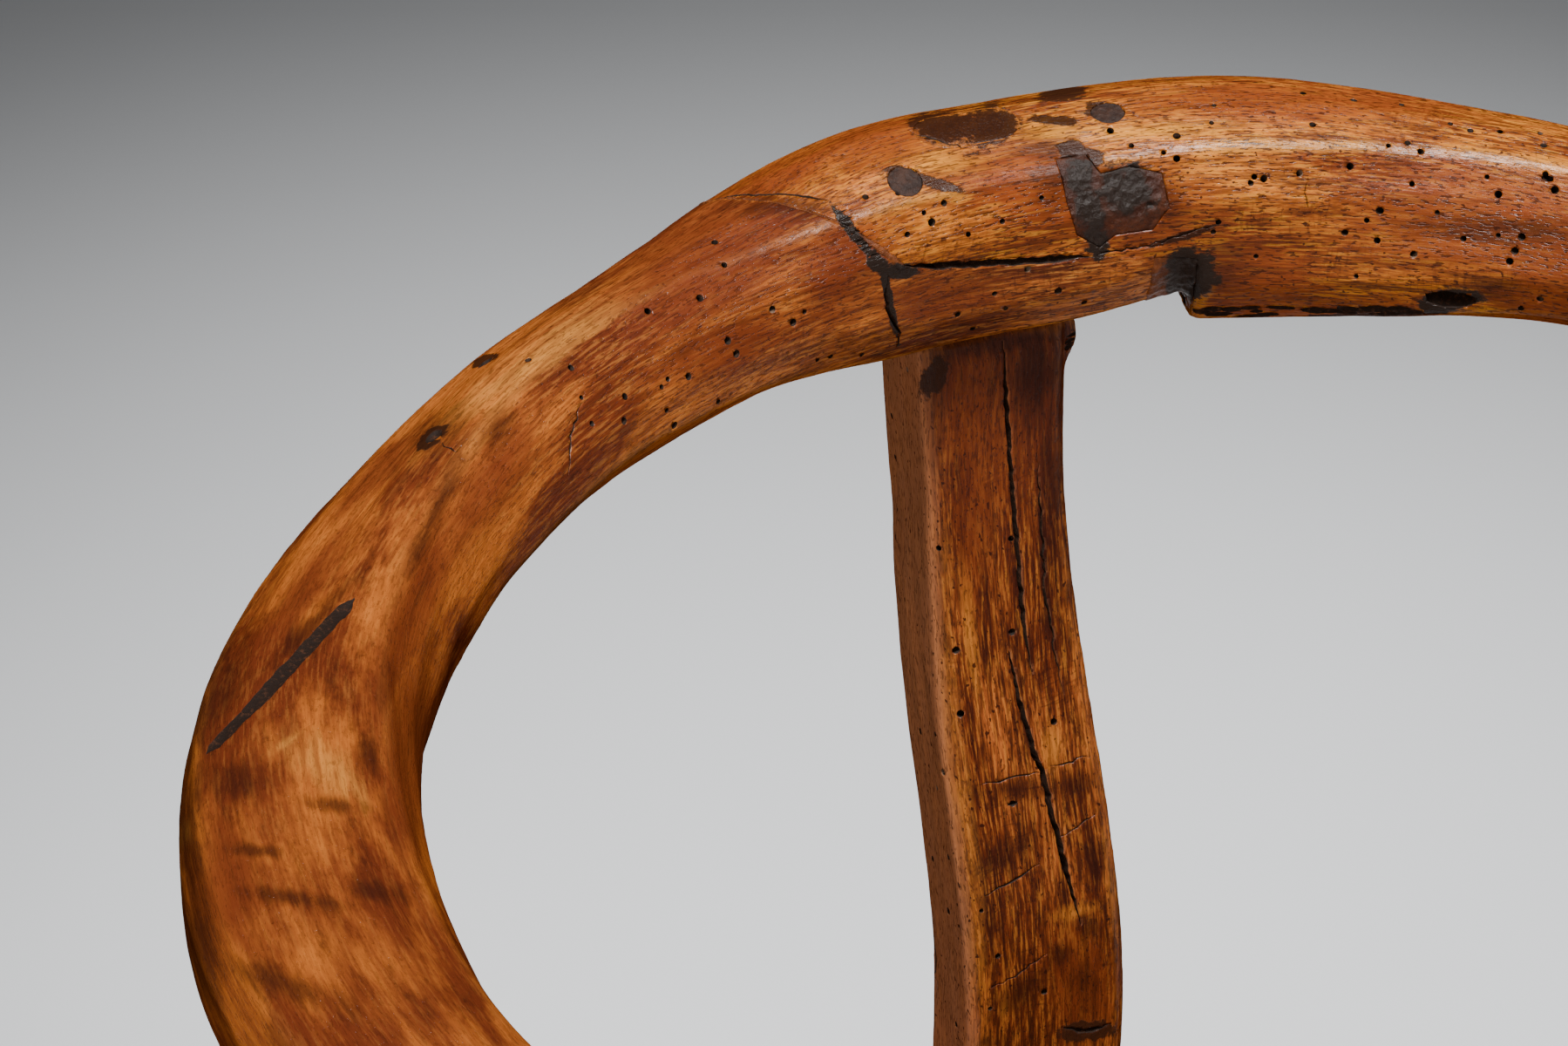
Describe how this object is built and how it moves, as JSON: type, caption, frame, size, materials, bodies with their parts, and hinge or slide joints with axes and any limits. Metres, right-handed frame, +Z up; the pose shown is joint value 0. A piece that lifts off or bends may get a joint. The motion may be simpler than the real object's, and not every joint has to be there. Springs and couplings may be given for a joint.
{
  "type": "tripod chair",
  "caption": "Rustic wooden tripod armchair: splayed hewn legs, slab seat, bent posts, and a horseshoe back rail of grown branches lapped and pegged over the rear post.",
  "frame": {"origin": "on the floor, under the middle of the chair's bounding box", "axes": "+Z up; the sitter faces -Y; +X is the right side as seen from in front of the chair"},
  "size_m": [0.5154, 0.4248, 0.7521],
  "materials": {
    "rail_wood": "waxed",
    "post_wood": "waxed",
    "seat_wood": "waxed",
    "leg_wood": "waxed",
    "wedge_wood": "worn",
    "peg_wood": "worn",
    "filler": "old dark mastic"
  },
  "bodies": {
    "root": {"left_arm_rail": "rail_wood", "left_lap_peg": "peg_wood", "left_leg": "leg_wood", "left_leg_wedge": "wedge_wood", "left_post": "post_wood", "left_post_foot_wedge": "wedge_wood", "patch_filler": "filler", "rear_leg": "leg_wood", "rear_leg_wedge": "wedge_wood", "rear_post": "post_wood", "rear_post_foot_wedge": "wedge_wood", "right_arm_rail": "rail_wood", "right_lap_peg": "peg_wood", "right_leg": "leg_wood", "right_leg_wedge": "wedge_wood", "right_post": "post_wood", "right_post_foot_wedge": "wedge_wood", "seat": "seat_wood", "shoulder_filler": "filler", "tip_filler": "filler"}
  },
  "joints": []
}
